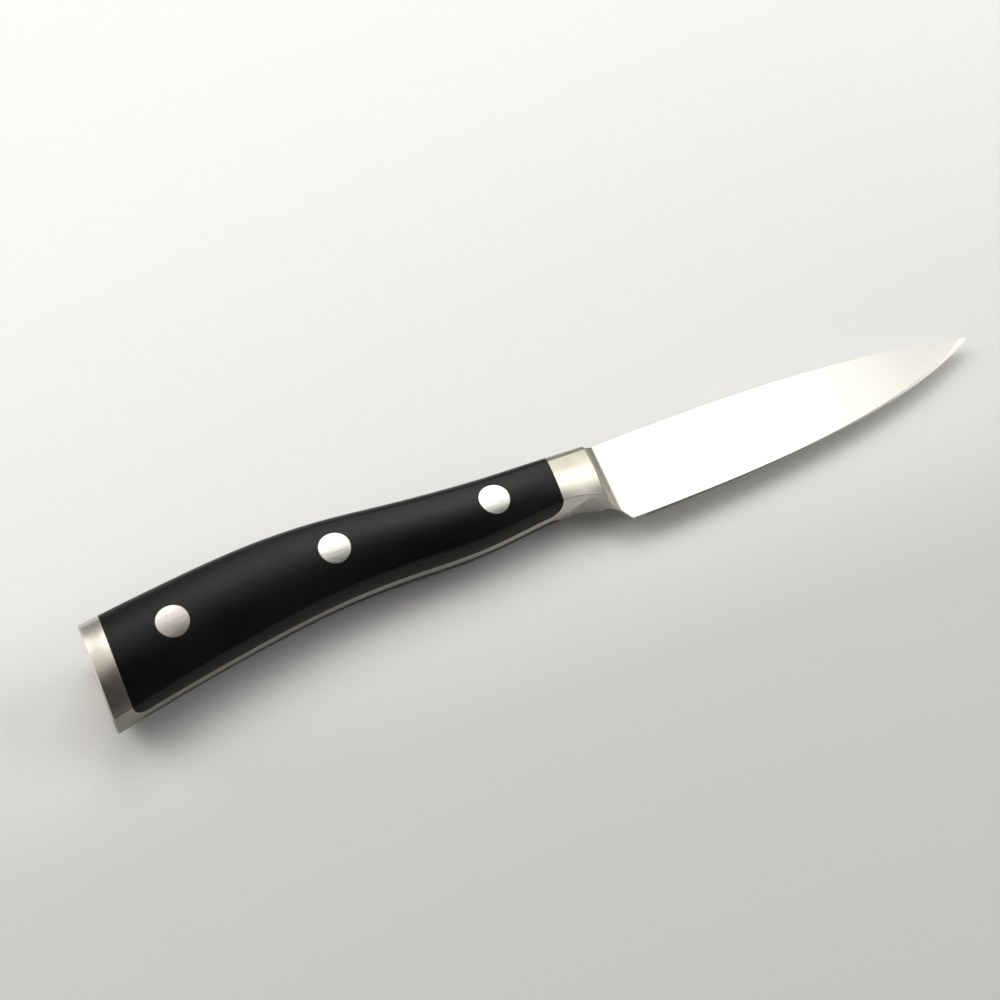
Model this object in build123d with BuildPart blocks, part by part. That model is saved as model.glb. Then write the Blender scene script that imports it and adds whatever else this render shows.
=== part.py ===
from build123d import *
import os
from math import atan2, cos, radians, sin, sqrt, tan
from numpy import interp

# Forged full-tang paring knife, lying on its side.
# X runs from the butt to the tip, Y towards the spine and Z through the thickness.
# The origin is under the middle of the knife, on the surface that it lies on.
# Units are millimetres and degrees.

# Overall sizes
blade_length = 90.0
handle_length = 108.0
heel_depth = 18.8
tip_drop = 7.0
hump_height = 4.85
butt_depth = 19.8
butt_thickness = 16.0

# Blade: a flat-ground wedge with a fine bevel at the edge
spine_thickness = 2.0
grind_allowance = 0.1
heel_edge_thickness = 0.4
tip_thickness = 0.7
bevel_angle = 18.0
bevel_reach = 2.5
heel_radius = 2.2
spine_control_shares = ((0.42, 0.06), (0.69, -0.11))
edge_control_shares = ((0.355, -1.0), (0.765, -0.945))

# Bolster: a half bolster that runs into the blade through a hollow ramp
bolster_length = 11.9
bolster_lean = 5.0
ramp_radius = 3.1
ramp_setback = 0.3
notch_setback = 4.0
notch_radius = 7.1
notch_angle = 62.0

# Tang and butt cap
tang_thickness = 1.6
cap_length = 4.0
cap_rim_chamfer = 0.3
cap_fillet = 2.3
bolster_fillet = 3.3

# Handle form, measured at stations from the butt to the root of the blade.
# Heights above the spine line are shares of hump_height, depths below it of
# butt_depth, thicknesses of butt_thickness and facet widths of the local thickness.
station_shares = (0.0, 0.074, 0.148, 0.301, 0.454, 0.574, 0.685, 0.759, 0.843, 0.889, 0.944, 1.0)
back_shares = (0.28, 0.50, 0.70, 1.0, 0.916, 0.58, 0.314, 0.196, 0.136, 0.107, 0.07, -0.01)
depth_shares = (1.0, 0.916, 0.842, 0.711, 0.629, 0.631, 0.658, 0.641, 0.597, 0.589, 0.64, 0.96)
thickness_shares = (1.0, 0.985, 0.965, 0.935, 0.9, 0.865, 0.82, 0.77, 0.69, 0.635, 0.58, 0.53)
facet_shares = (0.375, 0.39, 0.415, 0.465, 0.51, 0.54, 0.57, 0.6, 0.68, 0.75, 0.7, 0.48)
softness_shares = (0.4, 0.6, 0.8, 1.0, 1.0, 1.0, 1.0, 0.9, 0.5, 0.25, 0.2, 0.2)
facet_edge_radius = 1.2

# Shape of one handle section, as shares of its own height and half thickness
facet_rise_share = 0.27
crown_share = 0.37
shoulder_drop_share = 0.15
shoulder_radius_share = 0.42

# Rivets: two-piece cutler's rivets, ground flush with the scales
rear_rivet_margin = 12.0
front_rivet_margin = 14.1
rivet_head_diameter = 6.3
rivet_head_depth = 2.2
sleeve_diameter = 4.2
pin_diameter = 3.0
tang_hole_clearance = 0.1
rivet_end_gap = 0.5

overrun = 2.0

# Datum: the root of the blade, on the spine line and in the mid-plane
root_x = (handle_length - blade_length) / 2
spine_y = (max(butt_depth, heel_depth) - hump_height) / 2
mid_z = butt_thickness / 2
datum = Plane(origin=(root_x, spine_y, mid_z))


def section_plane(distance):
    """Plane across the knife, with local X through the thickness and local Y up to the spine."""
    origin = (root_x + distance, spine_y, mid_z)
    return Plane(origin=origin, x_dir=(0, 0, -1), z_dir=(1, 0, 0))


def top_view_plane(height):
    """Plane along the knife at a height over the spine line, with local Y through the thickness."""
    origin = (root_x, spine_y + height, mid_z)
    return Plane(origin=origin, x_dir=(1, 0, 0), z_dir=(0, -1, 0))


def handle_value(shares, size, from_butt):
    """Size of the handle form at a distance from the butt, between its stations."""
    return float(interp(from_butt / handle_length, station_shares, shares)) * size


# Outer form of the handle: crowned back and sides, round shoulders and a shallow belly facet
with BuildPart() as handle_form:
    for index, share in enumerate(station_shares):
        back = hump_height * back_shares[index]
        depth = butt_depth * depth_shares[index]
        half = butt_thickness / 2 * thickness_shares[index]
        facet = half * facet_shares[index]
        facet_height = facet * facet_rise_share - depth
        crown_height = back - (back + depth) * crown_share
        crown_drop = crown_height - facet_height
        crown_radius = (crown_drop**2 + (half - facet) ** 2) / 2 / (half - facet)
        shoulder_height = back - half * shoulder_drop_share
        shoulder_rise = shoulder_height - crown_height
        shoulder = half - crown_radius + sqrt(crown_radius**2 - shoulder_rise**2)
        with BuildSketch(section_plane(share * handle_length - handle_length)) as section:
            with BuildLine():
                ThreePointArc((-facet, facet_height), (0, -depth), (facet, facet_height))
                ThreePointArc(
                    (facet, facet_height), (half, crown_height), (shoulder, shoulder_height)
                )
                ThreePointArc((shoulder, shoulder_height), (0, back), (-shoulder, shoulder_height))
                ThreePointArc(
                    (-shoulder, shoulder_height), (-half, crown_height), (-facet, facet_height)
                )
            make_face()
            fillet(section.vertices().group_by(Axis.Y)[-1], half * shoulder_radius_share)
            fillet(section.vertices().group_by(Axis.Y)[0], facet_edge_radius * softness_shares[index])
    loft()
    chamfer(handle_form.faces().sort_by(Axis.X)[0].edges(), cap_rim_chamfer)


def pocket_profile(height):
    """Room for one scale, seen from above: square to the tang with a forged fillet at each end."""
    front = tan(radians(bolster_lean)) * height - bolster_length
    rear = cap_length - handle_length
    top = butt_thickness / 2 + overrun
    with BuildSketch(top_view_plane(height)) as profile:
        with BuildLine():
            Polyline(
                (rear, tang_thickness / 2),
                (front, tang_thickness / 2),
                (front, top),
                (rear, top),
                close=True,
            )
        make_face()
        fillet(profile.vertices().group_by(Axis.Y)[0].sort_by(Axis.X)[0], cap_fillet)
        fillet(profile.vertices().group_by(Axis.Y)[0].sort_by(Axis.X)[-1], bolster_fillet)
    return profile.sketch


# Pockets that the scales fill, between the butt cap and the leaning rear face of the bolster
with BuildPart() as right_pocket:
    loft([pocket_profile(hump_height + overrun), pocket_profile(-butt_depth - overrun)], ruled=True)

with BuildPart() as left_pocket:
    mirror(right_pocket.part, about=datum)

# Blade flank: a plane through the spine, the heel edge and the tip
down_slope = (spine_thickness - heel_edge_thickness) / 2 / heel_depth
along_slope = ((tip_thickness - spine_thickness) / 2 + down_slope * tip_drop) / blade_length
flank_normal = Vector(-along_slope, -down_slope, 1).normalized()
lean = radians(bolster_lean)
lean_rise = along_slope * sin(lean) + down_slope * cos(lean)
lean_direction = Vector(sin(lean), cos(lean), lean_rise).normalized()
forward = lean_direction.cross(flank_normal)
foot_height = mid_z + spine_thickness / 2 - along_slope * ramp_setback
grind_plane = Plane(
    origin=(root_x - ramp_setback, spine_y, foot_height),
    x_dir=forward,
    z_dir=forward.cross(flank_normal),
)

# Grinding space over both flanks, ending in the hollow ramp at the bolster
with BuildPart() as grind:
    with BuildSketch(grind_plane):
        with BuildLine():
            CenterArc((0, ramp_radius), ramp_radius, 180, 90)
            Polyline(
                (0, 0),
                (blade_length + overrun, 0),
                (blade_length + overrun, butt_thickness),
                (-ramp_radius, butt_thickness),
                (-ramp_radius, ramp_radius),
            )
        make_face()
    extrude(amount=butt_depth + overrun, both=True)
    mirror(about=datum)

# Finger notch, level with the belly at the bolster seam and down to the rounded heel
notch_depth = handle_value(depth_shares, butt_depth, handle_length - bolster_length)
notch_floor = -max(butt_depth, heel_depth) - overrun
heel_x = (heel_depth - notch_depth) / tan(radians(notch_angle)) - notch_setback
with BuildPart() as notch:
    with BuildSketch(datum):
        with BuildLine():
            FilletPolyline(
                (-bolster_length, -notch_depth),
                (-notch_setback, -notch_depth),
                (heel_x, -heel_depth),
                (heel_x + heel_radius, -heel_depth),
                radius=(notch_radius, heel_radius),
            )
            Polyline(
                (heel_x + heel_radius, -heel_depth),
                (heel_x + heel_radius, notch_floor),
                (-bolster_length, notch_floor),
                (-bolster_length, -notch_depth),
            )
        make_face()
    extrude(amount=butt_thickness, both=True)

# Side view of the blade: spine and edge curves that meet at the tip
tip = (blade_length, -tip_drop)
spine_controls = [(u * blade_length, v * tip_drop) for u, v in spine_control_shares]
edge_controls = [(u * blade_length, v * heel_depth) for u, v in edge_control_shares]
tip_angle = atan2(-tip_drop - edge_controls[1][1], blade_length - edge_controls[1][0])
past_tip = (blade_length + cos(tip_angle) * overrun, sin(tip_angle) * overrun - tip_drop)

# Space outside the sharpened edge, swept along it with the angle of the bevel
bevel_start = -bolster_length / 2
bevel_width = bevel_reach * tan(radians(bevel_angle))
with BuildPart() as bevel:
    with BuildLine(datum) as edge_path:
        Line((bevel_start, -heel_depth), (0, -heel_depth))
        Bezier((0, -heel_depth), *edge_controls, tip)
        Line(tip, past_tip)
    with BuildSketch(section_plane(bevel_start)):
        with BuildLine():
            Polyline(
                (0, -heel_depth),
                (bevel_width, bevel_reach - heel_depth),
                (bevel_width, -heel_depth - 2 * overrun),
                (-bevel_width, -heel_depth - 2 * overrun),
                (-bevel_width, bevel_reach - heel_depth),
                close=True,
            )
        make_face()
    sweep(path=edge_path.wire())

# Rivet places, on the middle line of the handle: one near each end of the scales, one halfway
first_rivet = cap_length + rear_rivet_margin
last_rivet = handle_length - bolster_length - front_rivet_margin
rivets = []
for name, from_butt in (
    ("rear", first_rivet),
    ("middle", (first_rivet + last_rivet) / 2),
    ("front", last_rivet),
):
    back = handle_value(back_shares, hump_height, from_butt)
    depth = handle_value(depth_shares, butt_depth, from_butt)
    half = handle_value(thickness_shares, butt_thickness, from_butt) / 2
    place = (root_x - handle_length + from_butt, spine_y + (back - depth) / 2)
    rivets.append((name, place, half - rivet_head_depth))

# One forging: blade, bolster, full tang and butt cap
with BuildPart() as blade_forging:
    add(handle_form.part)
    add(right_pocket.part, mode=Mode.SUBTRACT)
    add(left_pocket.part, mode=Mode.SUBTRACT)
    with BuildSketch(datum):
        with BuildLine():
            Line((bevel_start, 0), (0, 0))
            Bezier((0, 0), *spine_controls, tip)
            Bezier((0, -heel_depth), *edge_controls, tip)
            Polyline((0, -heel_depth), (bevel_start, -heel_depth), (bevel_start, 0))
        make_face()
    extrude(amount=spine_thickness / 2 + grind_allowance, both=True)
    add(notch.part, mode=Mode.SUBTRACT)
    add(grind.part, mode=Mode.SUBTRACT)
    add(bevel.part, mode=Mode.SUBTRACT)
    for name, place, floor in rivets:
        with BuildSketch(Plane(origin=(*place, mid_z))):
            Circle(sleeve_diameter / 2 + tang_hole_clearance)
        extrude(amount=tang_thickness, both=True, mode=Mode.SUBTRACT)

# Scales, drilled and counterbored for the rivets
with BuildPart() as right_scale:
    add(handle_form.part)
    add(right_pocket.part, mode=Mode.INTERSECT)
    for name, place, floor in rivets:
        with BuildSketch(Plane(origin=(*place, mid_z))):
            Circle(sleeve_diameter / 2)
        extrude(amount=butt_thickness, mode=Mode.SUBTRACT)
        with BuildSketch(Plane(origin=(*place, mid_z + floor))):
            Circle(rivet_head_diameter / 2)
        extrude(amount=butt_thickness, mode=Mode.SUBTRACT)

with BuildPart() as left_scale:
    mirror(right_scale.part, about=datum)

os.makedirs("parts", exist_ok=True)
blade_forging.part.label = "blade_forging"
right_scale.part.label = "right_scale"
left_scale.part.label = "left_scale"
export_step(blade_forging.part, "parts/blade_forging.step")
export_step(right_scale.part, "parts/right_scale.step")
export_step(left_scale.part, "parts/left_scale.step")

# Rivets: a hollow sleeve from the right-hand side and a solid pin from the left,
# each with a head that is ground flush with the handle
for name, place, floor in rivets:
    with BuildPart() as sleeve:
        with BuildSketch(Plane(origin=(*place, mid_z + floor))):
            Circle(rivet_head_diameter / 2)
        extrude(amount=rivet_head_depth + overrun)
        with BuildSketch(Plane(origin=(*place, mid_z + rivet_end_gap - floor))):
            Circle(sleeve_diameter / 2)
        extrude(amount=2 * floor - rivet_end_gap)
        with BuildSketch(Plane(origin=(*place, mid_z + rivet_end_gap - floor))):
            Circle(pin_diameter / 2)
        extrude(amount=2 * floor - 2 * rivet_end_gap, mode=Mode.SUBTRACT)
        add(handle_form.part, mode=Mode.INTERSECT)
    sleeve.part.label = f"{name}_rivet_sleeve"
    export_step(sleeve.part, f"parts/{name}_rivet_sleeve.step")

    with BuildPart() as pin:
        with BuildSketch(Plane(origin=(*place, mid_z - floor))):
            Circle(rivet_head_diameter / 2)
        extrude(amount=-rivet_head_depth - overrun)
        with BuildSketch(Plane(origin=(*place, mid_z - floor))):
            Circle(pin_diameter / 2)
        extrude(amount=2 * floor - 2 * rivet_end_gap)
        add(handle_form.part, mode=Mode.INTERSECT)
    pin.part.label = f"{name}_rivet_pin"
    export_step(pin.part, f"parts/{name}_rivet_pin.step")
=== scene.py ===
# %% [markdown]
# # A forged paring knife
# The knife lies on its left side on a pale table, seen from above and in front of its edge.
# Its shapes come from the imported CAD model, which is exact, so this lesson is about what CAD
# leaves out: how ground steel, moulded handle plastic and polished rivets answer to light, and
# how a studio shows it.

# %% Load the frame
import math

import bpy
import numpy as np
from mathutils import Matrix, Vector


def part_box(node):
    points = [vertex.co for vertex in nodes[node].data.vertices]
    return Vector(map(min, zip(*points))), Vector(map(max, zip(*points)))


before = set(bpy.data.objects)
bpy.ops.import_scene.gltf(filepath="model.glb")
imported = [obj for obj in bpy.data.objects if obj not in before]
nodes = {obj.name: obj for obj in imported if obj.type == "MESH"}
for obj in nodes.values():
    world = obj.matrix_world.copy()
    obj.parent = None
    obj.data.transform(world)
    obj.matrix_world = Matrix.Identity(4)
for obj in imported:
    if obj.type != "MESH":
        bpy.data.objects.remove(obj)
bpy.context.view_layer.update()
MM = 0.001
print("nodes:", sorted(nodes))

# %% [markdown]
# ## Camera
# The camera is set from five things that a photographer could write down: the point it looks
# at, its distance, the direction it looks in, how far down it points, and how much it is turned
# about its own axis. Written this way, each number can be changed by itself, which a bare matrix
# doesn't allow.

# %% Place the camera
LOOKED_AT = Vector((-14.18, 4.14, 8.0)) * MM
CAMERA_DISTANCE = 295.86 * MM
HEADING = math.radians(30.87)
LOOKING_DOWN = math.radians(57.49)
CAMERA_TURN = math.radians(5.91)

forward = Vector((
    math.sin(HEADING) * math.cos(LOOKING_DOWN),
    math.cos(HEADING) * math.cos(LOOKING_DOWN),
    -math.sin(LOOKING_DOWN),
))
level = forward.cross(Vector((0, 0, 1))).normalized()
upward = level.cross(forward)
right = level * math.cos(CAMERA_TURN) + upward * math.sin(CAMERA_TURN)
up = right.cross(forward)

camera_data = bpy.data.cameras.new("table_camera")
camera_data.lens = 52.9
camera_data.sensor_width = 36.0
camera_data.clip_start = 0.01
camera = bpy.data.objects.new("table_camera", camera_data)
bpy.context.scene.collection.objects.link(camera)
turned = Matrix((right, up, -forward)).transposed().to_4x4()
camera.matrix_world = Matrix.Translation(LOOKED_AT - forward * CAMERA_DISTANCE) @ turned
bpy.context.scene.camera = camera
print("camera stands at", [round(v / MM, 1) for v in camera.matrix_world.translation], "mm")

# %% [markdown]
# ## Table
# A knife on its side rests on the thickest part of its handle and dips its nose a little, so the
# paper under it isn't parallel to the blade. The frame must not move, so the paper slopes
# instead. A slope that went on for ever would hide the knife from a low eye at the tip's end, so
# it eases out to level past both ends of the knife.
# The height is measured: the paper rises until it touches the lowest point of the knife.

# %% Make the table
NOSE_DIP = math.radians(1.6)
SLOPED_HALF = 105 * MM
EASING = 30 * MM
TABLE_RADIUS = 0.9
TABLE_RINGS = 96
TABLE_TURNS = 192


def paper_rise(x):
    """Height against x: a slope under the knife, which a hyperbolic tangent eases out past it."""
    past_slope = np.maximum(np.abs(x) - SLOPED_HALF, 0)
    reach = np.minimum(np.abs(x), SLOPED_HALF) + EASING * np.tanh(past_slope / EASING)
    return np.sign(x) * reach * math.tan(NOSE_DIP)


points = np.concatenate([
    np.array([vertex.co for vertex in node.data.vertices]) for node in nodes.values()
])
table_height = float((points[:, 2] - paper_rise(points[:, 0])).min())


def table_surface():
    """Disc about the origin, as rings of points that are closest together near the knife."""
    out = np.linspace(0, 1, TABLE_RINGS)
    angle = np.linspace(0, 2 * np.pi, TABLE_TURNS + 1)[:-1]
    radius = TABLE_RADIUS * out[:, None]**2
    x = radius * np.cos(angle)
    y = radius * np.sin(angle)
    return np.stack([x, y, table_height + paper_rise(x)], axis=-1)


def grid_mesh(name, surface):
    """Mesh of a grid of points that closes on itself in its second direction."""
    rows, columns = surface.shape[:2]
    index = np.arange(rows * columns).reshape(rows, columns)
    after = np.roll(index, -1, axis=1)
    quads = np.stack([index[:-1], index[1:], after[1:], after[:-1]], axis=-1).reshape(-1, 4)
    mesh = bpy.data.meshes.new(name)
    mesh.from_pydata(surface.reshape(-1, 3).tolist(), [], quads.tolist())
    mesh.polygons.foreach_set("use_smooth", np.ones(len(quads), bool))
    return mesh


table = bpy.data.objects.new("table", grid_mesh("table", table_surface()))
bpy.context.scene.collection.objects.link(table)
print("paper under the origin is at height", round(table_height / MM, 2), "mm")

# %% [markdown]
# ## Light
# The metal mostly shows what it mirrors, so the panels are set out by what each face should see.
# The blade mirrors the window panel, and its tip only the panel's edge, so the blade is white at
# the root and turns warm and grey towards the tip. The key panel stands further back: it draws
# the light band along the handle and the soft shadow towards the viewer. A weak ceiling panel
# keeps the flanks grey. The handle's faces hardly turn left or right, so the two side panels
# light the paper without showing on them. No panel hangs in front of the knife, so the faces
# that turn to the viewer go dark.
# Each panel is placed by its direction and distance, and its power comes from the brightness
# that it should show.


# %% Hang the light panels
def light_panel(name, toward, distance, size, brightness, tint):
    """Square lamp in a direction from the origin. Power is brightness times area times pi."""
    lamp = bpy.data.lights.new(name, "AREA")
    lamp.shape = "SQUARE"
    lamp.size = size
    lamp.energy = brightness * size**2 * math.pi
    lamp.color = tint
    panel = bpy.data.objects.new(name, lamp)
    bpy.context.scene.collection.objects.link(panel)
    direction = Vector(toward).normalized()
    panel.location = direction * distance
    panel.rotation_euler = direction.to_track_quat("Z", "Y").to_euler()
    print(name, "power", round(lamp.energy, 2), "W")


light_panel("window_panel", (0.366, 0.245, 0.89), 0.9, 0.46, 1.22, (1.0, 0.985, 0.94))
light_panel("ceiling_panel", (-0.16, 0.30, 0.94), 1.0, 0.80, 0.50, (1.0, 0.96, 0.90))
light_panel("key_panel", (0.245, 0.57, 0.78), 1.3, 0.76, 2.85, (1.0, 0.99, 0.97))
light_panel("left_panel", (-0.66, 0.46, 0.60), 0.9, 0.62, 3.2, (1.0, 0.99, 0.98))
light_panel("right_panel", (0.92, -0.12, 0.44), 0.9, 0.76, 3.3, (1.0, 0.99, 0.98))

# %% [markdown]
# ## Helpers for node trees
# A material is a tree of small nodes, and a formula of five nodes takes twenty lines when each
# is made by hand. Each helper here makes one kind of node, sets or connects its inputs and
# returns its output, so that a formula can be read as one.

# %% Helpers for node trees
# A Mix node has sockets for numbers, vectors and colours. These are the ones for colours.
COLOUR_A, COLOUR_B, COLOUR_RESULT = 6, 7, 2


def connect(tree, source, target):
    tree.links.new(source, target)


def add_math(tree, operation, *operands):
    """Math node whose inputs are sockets or numbers. Returns its output."""
    node = tree.nodes.new("ShaderNodeMath")
    node.operation = operation
    for socket, operand in zip(node.inputs, operands):
        if isinstance(operand, (int, float)):
            socket.default_value = operand
        else:
            connect(tree, operand, socket)
    return node.outputs[0]


def split_xyz(tree, vector):
    """Outputs X, Y and Z of a node that takes a vector apart."""
    node = tree.nodes.new("ShaderNodeSeparateXYZ")
    connect(tree, vector, node.inputs[0])
    return node.outputs


def smooth_step(tree, value, start, end):
    """Mask that rises smoothly from 0 at start to 1 at end. Start may be the larger one."""
    node = tree.nodes.new("ShaderNodeMapRange")
    node.interpolation_type = "SMOOTHSTEP"
    node.inputs["From Min"].default_value = start
    node.inputs["From Max"].default_value = end
    connect(tree, value, node.inputs["Value"])
    return node.outputs["Result"]


def mix_colours(tree, factor, first, second):
    """Colour between two, where each is a socket or an RGB triple."""
    node = tree.nodes.new("ShaderNodeMix")
    node.data_type = "RGBA"
    connect(tree, factor, node.inputs[0])
    for index, value in ((COLOUR_A, first), (COLOUR_B, second)):
        if isinstance(value, tuple):
            node.inputs[index].default_value = (*value, 1)
        else:
            connect(tree, value, node.inputs[index])
    return node.outputs[COLOUR_RESULT]


# %% [markdown]
# ## Room
# The knife lies in a dim room, so the world gives hardly any light. From the side the eye looks
# past the table's edge, and there the room should be as pale as the paper, with a soft fall
# towards the ceiling. The pale band is shown to the camera and to mirrors, but not to the paper,
# so the shadow keeps its depth.

# %% Make the room
DIM_ROOM = (0.06, 0.06, 0.063)
PALE_ROOM = (0.78, 0.775, 0.755)
TOP_OF_BAND = math.sin(math.radians(30))
START_OF_FALL = math.sin(math.radians(10))

room = bpy.data.worlds.new("room")
room.use_nodes = True
bpy.context.scene.world = room
tree = room.node_tree
direction = tree.nodes.new("ShaderNodeTexCoord").outputs["Generated"]
rays = tree.nodes.new("ShaderNodeLightPath").outputs
seen = add_math(tree, "MAXIMUM", rays["Is Camera Ray"], rays["Is Glossy Ray"])
seen = add_math(tree, "MAXIMUM", seen, rays["Is Transmission Ray"])
pale_band = smooth_step(tree, split_xyz(tree, direction)["Z"], TOP_OF_BAND, START_OF_FALL)
pale_band = add_math(tree, "MULTIPLY", pale_band, seen)
room_colour = mix_colours(tree, pale_band, DIM_ROOM, PALE_ROOM)
connect(tree, room_colour, tree.nodes["Background"].inputs["Color"])
print("room:", len(tree.nodes), "nodes")

# %% [markdown]
# ## Shader groups
# Ground steel and moulded plastic both carry fine marks that run one way, so the marks are one
# node group. It multiplies each coordinate by a frequency before it reads a noise: high across
# the marks, which makes them thin, and low along them, which makes them long.
# A second group gives slow, cloudy changes, as of wiping and handling.


# %% Build the two groups
def start_group(name, inputs, output):
    """New node group. Returns its tree, the outputs of its input node, and its end socket."""
    tree = bpy.data.node_groups.new(name, "ShaderNodeTree")
    for label, kind in inputs.items():
        tree.interface.new_socket(label, in_out="INPUT", socket_type=f"NodeSocket{kind}")
    tree.interface.new_socket(output, in_out="OUTPUT", socket_type="NodeSocketFloat")
    start = tree.nodes.new("NodeGroupInput")
    end = tree.nodes.new("NodeGroupOutput")
    return tree, start.outputs, end.inputs[output]


def build_marks_group():
    """Noise that is read at the position times a frequency of its own along each axis."""
    tree, given, end = start_group(
        "one_way_marks", {"Vector": "Vector", "Frequency": "Vector"}, "Marks")
    scaled = tree.nodes.new("ShaderNodeVectorMath")
    scaled.operation = "MULTIPLY"
    noise = tree.nodes.new("ShaderNodeTexNoise")
    noise.inputs["Scale"].default_value = 1.0
    noise.inputs["Detail"].default_value = 4.0
    noise.inputs["Roughness"].default_value = 0.62
    connect(tree, given["Vector"], scaled.inputs[0])
    connect(tree, given["Frequency"], scaled.inputs[1])
    connect(tree, scaled.outputs[0], noise.inputs["Vector"])
    connect(tree, noise.outputs["Fac"], end)
    return tree


def build_clouds_group():
    """Slow noise of one size. The middle third of its range is stretched to go from 0 to 1."""
    tree, given, end = start_group(
        "handling_clouds", {"Vector": "Vector", "Scale": "Float"}, "Clouds")
    noise = tree.nodes.new("ShaderNodeTexNoise")
    noise.inputs["Detail"].default_value = 3.0
    connect(tree, given["Vector"], noise.inputs["Vector"])
    connect(tree, given["Scale"], noise.inputs["Scale"])
    connect(tree, smooth_step(tree, noise.outputs["Fac"], 0.34, 0.66), end)
    return tree


marks_group = build_marks_group()
clouds_group = build_clouds_group()
print("groups:", marks_group.name, clouds_group.name)

# %% [markdown]
# ## Helpers for materials
# Every finish starts from coordinates in millimetres, so that marks can be counted per
# millimetre, as on the real thing. The finest relief is four hundredths of a millimetre deep at
# full strength, and each finish takes only a part of that.

# %% Helpers for materials
GRAIN_DEPTH = 0.04 * MM


def start_material(name):
    """New material. Returns it with its tree, its shader and its coordinates in millimetres."""
    material = bpy.data.materials.new(name)
    material.use_nodes = True
    tree = material.node_tree
    coordinates = tree.nodes.new("ShaderNodeTexCoord")
    in_mm = tree.nodes.new("ShaderNodeVectorMath")
    in_mm.operation = "SCALE"
    in_mm.inputs["Scale"].default_value = 1 / MM
    connect(tree, coordinates.outputs["Object"], in_mm.inputs[0])
    return material, tree, tree.nodes["Principled BSDF"], in_mm.outputs[0]


def place_group(tree, group, vector, control, value):
    """Group node that reads a vector, with one named input set. Returns its output."""
    node = tree.nodes.new("ShaderNodeGroup")
    node.node_tree = group
    node.inputs[control].default_value = value
    connect(tree, vector, node.inputs["Vector"])
    return node.outputs[0]


def marks(tree, vector, frequency):
    """One-way marks, with so many per millimetre along each axis."""
    return place_group(tree, marks_group, vector, "Frequency", frequency)


def clouds(tree, vector, frequency):
    """Cloudy patches, with so many per millimetre."""
    return place_group(tree, clouds_group, vector, "Scale", frequency)


def add_bump(tree, height, strength, depth, normal_input):
    """Bump into a normal input. Its depth in metres is what a height of 1 stands for."""
    bump = tree.nodes.new("ShaderNodeBump")
    bump.inputs["Strength"].default_value = strength
    bump.inputs["Distance"].default_value = depth
    connect(tree, height, bump.inputs["Height"])
    connect(tree, bump.outputs["Normal"], normal_input)
    return bump


# %% [markdown]
# ## Forged steel
# Blade, bolster, tang and cap are one piece of steel with several finishes. The flanks are
# ground flat across the blade with a fine belt, and the bolster and cap are polished by hand
# along the handle. The belly of the tang is ground with the scales and is rougher. Its darker
# grey tone is painted shade, and so is the darker grey of the hollow ramp in front of the
# bolster, of the first millimetres of the blade and of the cutting edge.
# One material holds them all. Masks along the knife tell blade, bolster and cap apart, and
# belly, ramp and cutting edge are found by the way that their faces point.

# %% Masks over the forging
ROOT_X = 9.0
CAP_X = -93.3
BUTT_X = -99.0

steel, tree, shader, position = start_material("forged_steel_finish_and_light")
where = split_xyz(tree, position)
along = where["X"]
facing = split_xyz(tree, tree.nodes["Texture Coordinate"].outputs["Normal"])

# Masks by place, in millimetres along the knife.
on_blade = smooth_step(tree, along, ROOT_X - 2.6, ROOT_X - 1.2)
on_cap = smooth_step(tree, along, CAP_X + 0.5, CAP_X - 0.5)
behind_root = smooth_step(tree, along, ROOT_X + 0.8, ROOT_X - 0.4)
past_root = smooth_step(tree, along, ROOT_X + 1.0, ROOT_X + 3.0)

# Masks by facing, each from one part of the face's unit normal.
# On the belly the tone below paints shade, a darker grey; the added roughness is its rougher
# grind.
on_belly = smooth_step(tree, facing["Y"], -0.55, -0.80)
# Painted light: faces of the bolster that turn down towards the viewer take a far brighter tone
# than its top.
lower_flank_painted_light = smooth_step(tree, facing["Y"], 0.02, -0.22)
bevel_facing = smooth_step(tree, facing["Y"], -0.12, -0.24)
ramp_facing = smooth_step(tree, facing["X"], 0.03, 0.34)
# Painted shade: the ramp and cutting-edge masks give these faces a darker grey tone.
ramp_painted_shade = add_math(tree, "MULTIPLY", ramp_facing, behind_root)
edge_painted_shade = add_math(tree, "MULTIPLY", bevel_facing, past_root)

# %% [markdown]
# Steel has no colour of its own apart from the tint of what it mirrors, so a tone says what
# share of the light a finish gives back. Several tones here also paint light and shade, by how
# each face catches the light: the bolster's top is painted far darker than the cap and than its
# own lower flank, the cap's foot and top are painted darker than its middle, and the belly, the
# first millimetres of the blade, the ramp and the cutting edge are painted darker grey as shade.
# The tones are laid over each other in turn: bolster and cap first, then the belly, then the
# blade, and last the ramp and the cutting edge.

# %% Tones of the steel
STEEL_TONES = {
    "cap": (0.84, 0.785, 0.69),
    "cap foot painted shade": (0.50, 0.46, 0.39),
    "cap top painted shade": (0.58, 0.565, 0.525),
    "bolster": (0.33, 0.31, 0.26),
    "bolster flank painted light": (0.97, 0.93, 0.83),
    "mottling": (0.50, 0.46, 0.42),
    "rear belly painted shade": (0.30, 0.28, 0.265),
    "front belly painted shade": (0.54, 0.52, 0.48),
    "clean blade": (0.84, 0.83, 0.775),
    "smudged blade": (0.81, 0.80, 0.74),
    "blade root painted shade": (0.42, 0.415, 0.35),
    "ramp": (0.26, 0.255, 0.205),
    "edge": (0.35, 0.34, 0.31),
}

mottled = add_math(tree, "MULTIPLY", clouds(tree, position, 0.16), 0.22)
smudged = clouds(tree, position, 0.05)
# Painted shade on the cap: its foot, by the way it faces, and its top, by height, take darker
# tones than its middle.
cap_foot_painted_shade = smooth_step(tree, facing["Y"], -0.14, -0.42)
cap_top_painted_shade = smooth_step(tree, where["Y"], 3.2, 6.4)
# Painted shade on the belly, darkest at the rear and lighter towards the bolster.
front_belly = smooth_step(tree, along, -30.0, -6.0)
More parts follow.
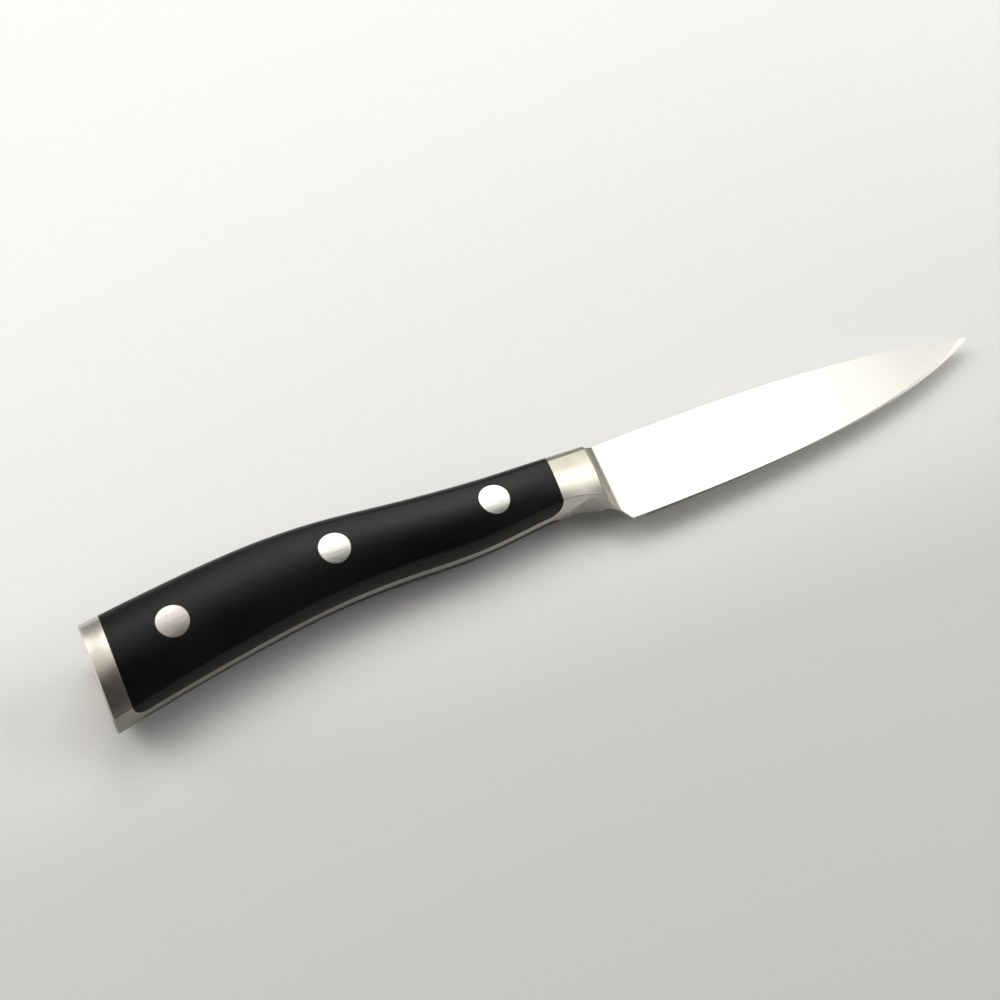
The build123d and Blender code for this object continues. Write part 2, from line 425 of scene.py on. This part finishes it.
# Painted shade: the first few millimetres of the blade past its root take a darker, warmer tone.
root_painted_shade = smooth_step(tree, along, ROOT_X + 5.0, ROOT_X - 1.5)
root_painted_shade = add_math(tree, "MULTIPLY", root_painted_shade, 0.9)

cap_tone = mix_colours(tree, cap_foot_painted_shade, STEEL_TONES["cap"], STEEL_TONES["cap foot painted shade"])
cap_tone = mix_colours(tree, cap_top_painted_shade, cap_tone, STEEL_TONES["cap top painted shade"])
# The bolster's top is painted darker and its lower flank brighter: painted shade and painted
# light.
bolster_light_and_shade = mix_colours(
    tree, lower_flank_painted_light, STEEL_TONES["bolster"], STEEL_TONES["bolster flank painted light"])
belly_painted_shade = mix_colours(
    tree, front_belly, STEEL_TONES["rear belly painted shade"], STEEL_TONES["front belly painted shade"])
body_tone = mix_colours(tree, on_cap, bolster_light_and_shade, cap_tone)
body_tone = mix_colours(tree, mottled, body_tone, STEEL_TONES["mottling"])
body_tone = mix_colours(tree, on_belly, body_tone, belly_painted_shade)
blade_tone = mix_colours(
    tree, smudged, STEEL_TONES["clean blade"], STEEL_TONES["smudged blade"])
blade_tone = mix_colours(tree, root_painted_shade, blade_tone, STEEL_TONES["blade root painted shade"])
steel_tone = mix_colours(tree, on_blade, body_tone, blade_tone)
steel_tone = mix_colours(tree, ramp_painted_shade, steel_tone, STEEL_TONES["ramp"])
steel_tone = mix_colours(tree, edge_painted_shade, steel_tone, STEEL_TONES["edge"])
connect(tree, steel_tone, shader.inputs["Base Color"])
shader.inputs["Metallic"].default_value = 1.0
print("steel tones:", ", ".join(STEEL_TONES))

# %% [markdown]
# The marks of grinding and polishing roughen the steel in streaks and stand out as a fine
# relief. Under it lies a broad one: the cap's end is rounded over by hand, so its last 4 mm fall
# away with the square of the distance.

# %% Roughness and relief of the steel
BLADE_GRINDING = (9.0, 0.5, 0.5)
HAND_POLISH = (0.7, 7.0, 7.0)
ROUNDED_LENGTH = 4.0
FALL_PER_SQUARE = -0.016

ground = marks(tree, position, BLADE_GRINDING)
polished = marks(tree, position, HAND_POLISH)

blade_rough = add_math(tree, "MULTIPLY_ADD", ground, 0.07, 0.25)
body_rough = add_math(tree, "MULTIPLY_ADD", polished, 0.16, 0.22)
rough_gap = add_math(tree, "SUBTRACT", blade_rough, body_rough)
roughness = add_math(tree, "MULTIPLY_ADD", rough_gap, on_blade, body_rough)
roughness = add_math(tree, "MULTIPLY_ADD", on_belly, 0.12, roughness)
connect(tree, roughness, shader.inputs["Roughness"])

line_gap = add_math(tree, "SUBTRACT", ground, polished)
lines = add_math(tree, "MULTIPLY_ADD", line_gap, on_blade, polished)
fine_relief = add_bump(tree, lines, 0.10, GRAIN_DEPTH, shader.inputs["Normal"])

past = add_math(tree, "SUBTRACT", BUTT_X + ROUNDED_LENGTH, along)
past = add_math(tree, "MAXIMUM", past, 0.0)
squared = add_math(tree, "MULTIPLY", past, past)
fall = add_math(tree, "MULTIPLY", squared, FALL_PER_SQUARE)
add_bump(tree, fall, 1.0, MM, fine_relief.inputs["Normal"])
print("forged steel:", len(tree.nodes), "nodes")

# %% [markdown]
# ## Black scales
# The scales are a dense moulded plastic, sanded flush with the steel and buffed. It is nearly
# black, with a broad, soft sheen from very fine sanding marks along the handle and a faint
# pebble from the mould.

# %% Make the scale plastic
SCALE_SANDING = (0.35, 6.0, 6.0)
CLEAN_PLASTIC = (0.0018, 0.0018, 0.0017)
HANDLED_PLASTIC = (0.003, 0.003, 0.0028)

plastic, tree, shader, position = start_material("black_scale_finish")
sanding = marks(tree, position, SCALE_SANDING)
pebble = clouds(tree, position, 2.4)
handled = clouds(tree, position, 0.045)
tone = mix_colours(tree, handled, CLEAN_PLASTIC, HANDLED_PLASTIC)
connect(tree, tone, shader.inputs["Base Color"])
shader.inputs["Specular IOR Level"].default_value = 0.23
roughness = add_math(tree, "MULTIPLY_ADD", sanding, 0.10, 0.26)
roughness = add_math(tree, "MULTIPLY_ADD", handled, 0.05, roughness)
connect(tree, roughness, shader.inputs["Roughness"])
grain = add_math(tree, "MULTIPLY_ADD", pebble, 0.35, sanding)
add_bump(tree, grain, 0.12, GRAIN_DEPTH, shader.inputs["Normal"])
print("scale plastic:", len(tree.nodes), "nodes")

# %% [markdown]
# ## Rivets
# Each rivet head is ground flush with the scale and buffed with it, so its marks run straight
# across the head, and its rim is a little darker where the buffing left the seam. The tones of
# the three heads carry painted light: the rear head is painted darker and the front one
# brighter, for the way the light falls along the handle. The rim needs the head's own centre,
# so each rivet gets a material of its own, with the centre read from the frame.

# %% Make the rivet finishes
RIVET_BUFFING = (0.22, 1.1, 1.1)
RIM_TONE = (0.30, 0.28, 0.26)
RIM_START = 0.93
# Per place, a dull and a bright tone for the buffing grain; the rear pair is painted darker and
# the front pair brighter, as painted light.
RIVET_GRAIN_AND_PAINTED_LIGHT = {
    "rear": ((0.54, 0.50, 0.48), (0.62, 0.58, 0.55)),
    "middle": ((0.66, 0.65, 0.60), (0.84, 0.84, 0.79)),
    "front": ((0.74, 0.74, 0.68), (0.88, 0.88, 0.83)),
}


def rivet_finish_and_light(name, centre, radius, dull, bright):
    """Buffed steel between two tones, with a darker rim. Centre and radius are in millimetres."""
    material, tree, shader, position = start_material(name)
    offset = tree.nodes.new("ShaderNodeVectorMath")
    offset.operation = "SUBTRACT"
    offset.inputs[1].default_value = (*centre, 0)
    connect(tree, position, offset.inputs[0])
    from_centre = split_xyz(tree, offset.outputs[0])
    squared = add_math(tree, "MULTIPLY", from_centre["Y"], from_centre["Y"])
    squared = add_math(tree, "MULTIPLY_ADD", from_centre["X"], from_centre["X"], squared)
    distance = add_math(tree, "SQRT", squared)
    rim = smooth_step(tree, distance, RIM_START * radius, radius)
    buffing = marks(tree, position, RIVET_BUFFING)
    tone = mix_colours(tree, smooth_step(tree, buffing, 0.35, 0.65), dull, bright)
    tone = mix_colours(tree, rim, tone, RIM_TONE)
    connect(tree, tone, shader.inputs["Base Color"])
    shader.inputs["Metallic"].default_value = 1.0
    roughness = add_math(tree, "MULTIPLY_ADD", buffing, 0.04, 0.26)
    connect(tree, roughness, shader.inputs["Roughness"])
    add_bump(tree, buffing, 0.02, GRAIN_DEPTH, shader.inputs["Normal"])
    return material


for place, (dull, bright) in RIVET_GRAIN_AND_PAINTED_LIGHT.items():
    low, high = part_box(f"{place}_rivet_sleeve")
    centre = ((low.x + high.x) / 2 / MM, (low.y + high.y) / 2 / MM)
    radius = (high.x - low.x) / 2 / MM
    finish = rivet_finish_and_light(f"{place}_rivet_finish_and_light", centre, radius, dull, bright)
    for half in ("sleeve", "pin"):
        nodes[f"{place}_rivet_{half}"].material_slots[0].material = finish
    print(place, "rivet centre", [round(v, 2) for v in centre], "mm")

# %% [markdown]
# The two finishes made before the rivets go onto their pieces as they are.

# %% Give steel and plastic to their pieces
nodes["blade_forging"].material_slots[0].material = steel
for side in ("right", "left"):
    nodes[f"{side}_scale"].material_slots[0].material = plastic
print("finishes:", sorted({node.material_slots[0].material.name for node in nodes.values()}))

# %% [markdown]
# ## Paper on the table
# The table is covered with plain paper. Its tone falls slowly from the far left corner to the
# near right one, and once more in front of the knife. In a real room the light itself falls off
# like this, and here it is painted. A very fine fibre keeps the paper from looking like plastic.

# %% Make the paper
FAR_LEFT_PAPER = (0.97, 0.965, 0.95)
NEAR_RIGHT_PAPER = (0.71, 0.71, 0.69)
PAPER_FIBRE = (0.75, 0.74, 0.73)
PAPER_IN_FRONT = (0.52, 0.52, 0.505)

paper, tree, shader, position = start_material("paper")
where = split_xyz(tree, position)
slant = add_math(tree, "MULTIPLY_ADD", where["X"], -0.45, where["Y"])
lit = smooth_step(tree, slant, -190.0, 190.0)
fibre = add_math(tree, "MULTIPLY", clouds(tree, position, 0.9), 0.05)
nearness = add_math(tree, "MULTIPLY_ADD", where["X"], 0.1, where["Y"])
in_front = add_math(tree, "MULTIPLY", smooth_step(tree, nearness, -2.0, -44.0), 0.48)
tone = mix_colours(tree, lit, NEAR_RIGHT_PAPER, FAR_LEFT_PAPER)
tone = mix_colours(tree, fibre, tone, PAPER_FIBRE)
tone = mix_colours(tree, in_front, tone, PAPER_IN_FRONT)
connect(tree, tone, shader.inputs["Base Color"])
shader.inputs["Roughness"].default_value = 0.9
shader.inputs["Specular IOR Level"].default_value = 0.1
table.data.materials.append(paper)
print("paper:", len(tree.nodes), "nodes")

# %% [markdown]
# ## Finish
# The colour view stays Standard, so a tone on the screen is the tone in the scene.

# %% Set the colour view
bpy.context.scene.view_settings.view_transform = "Standard"
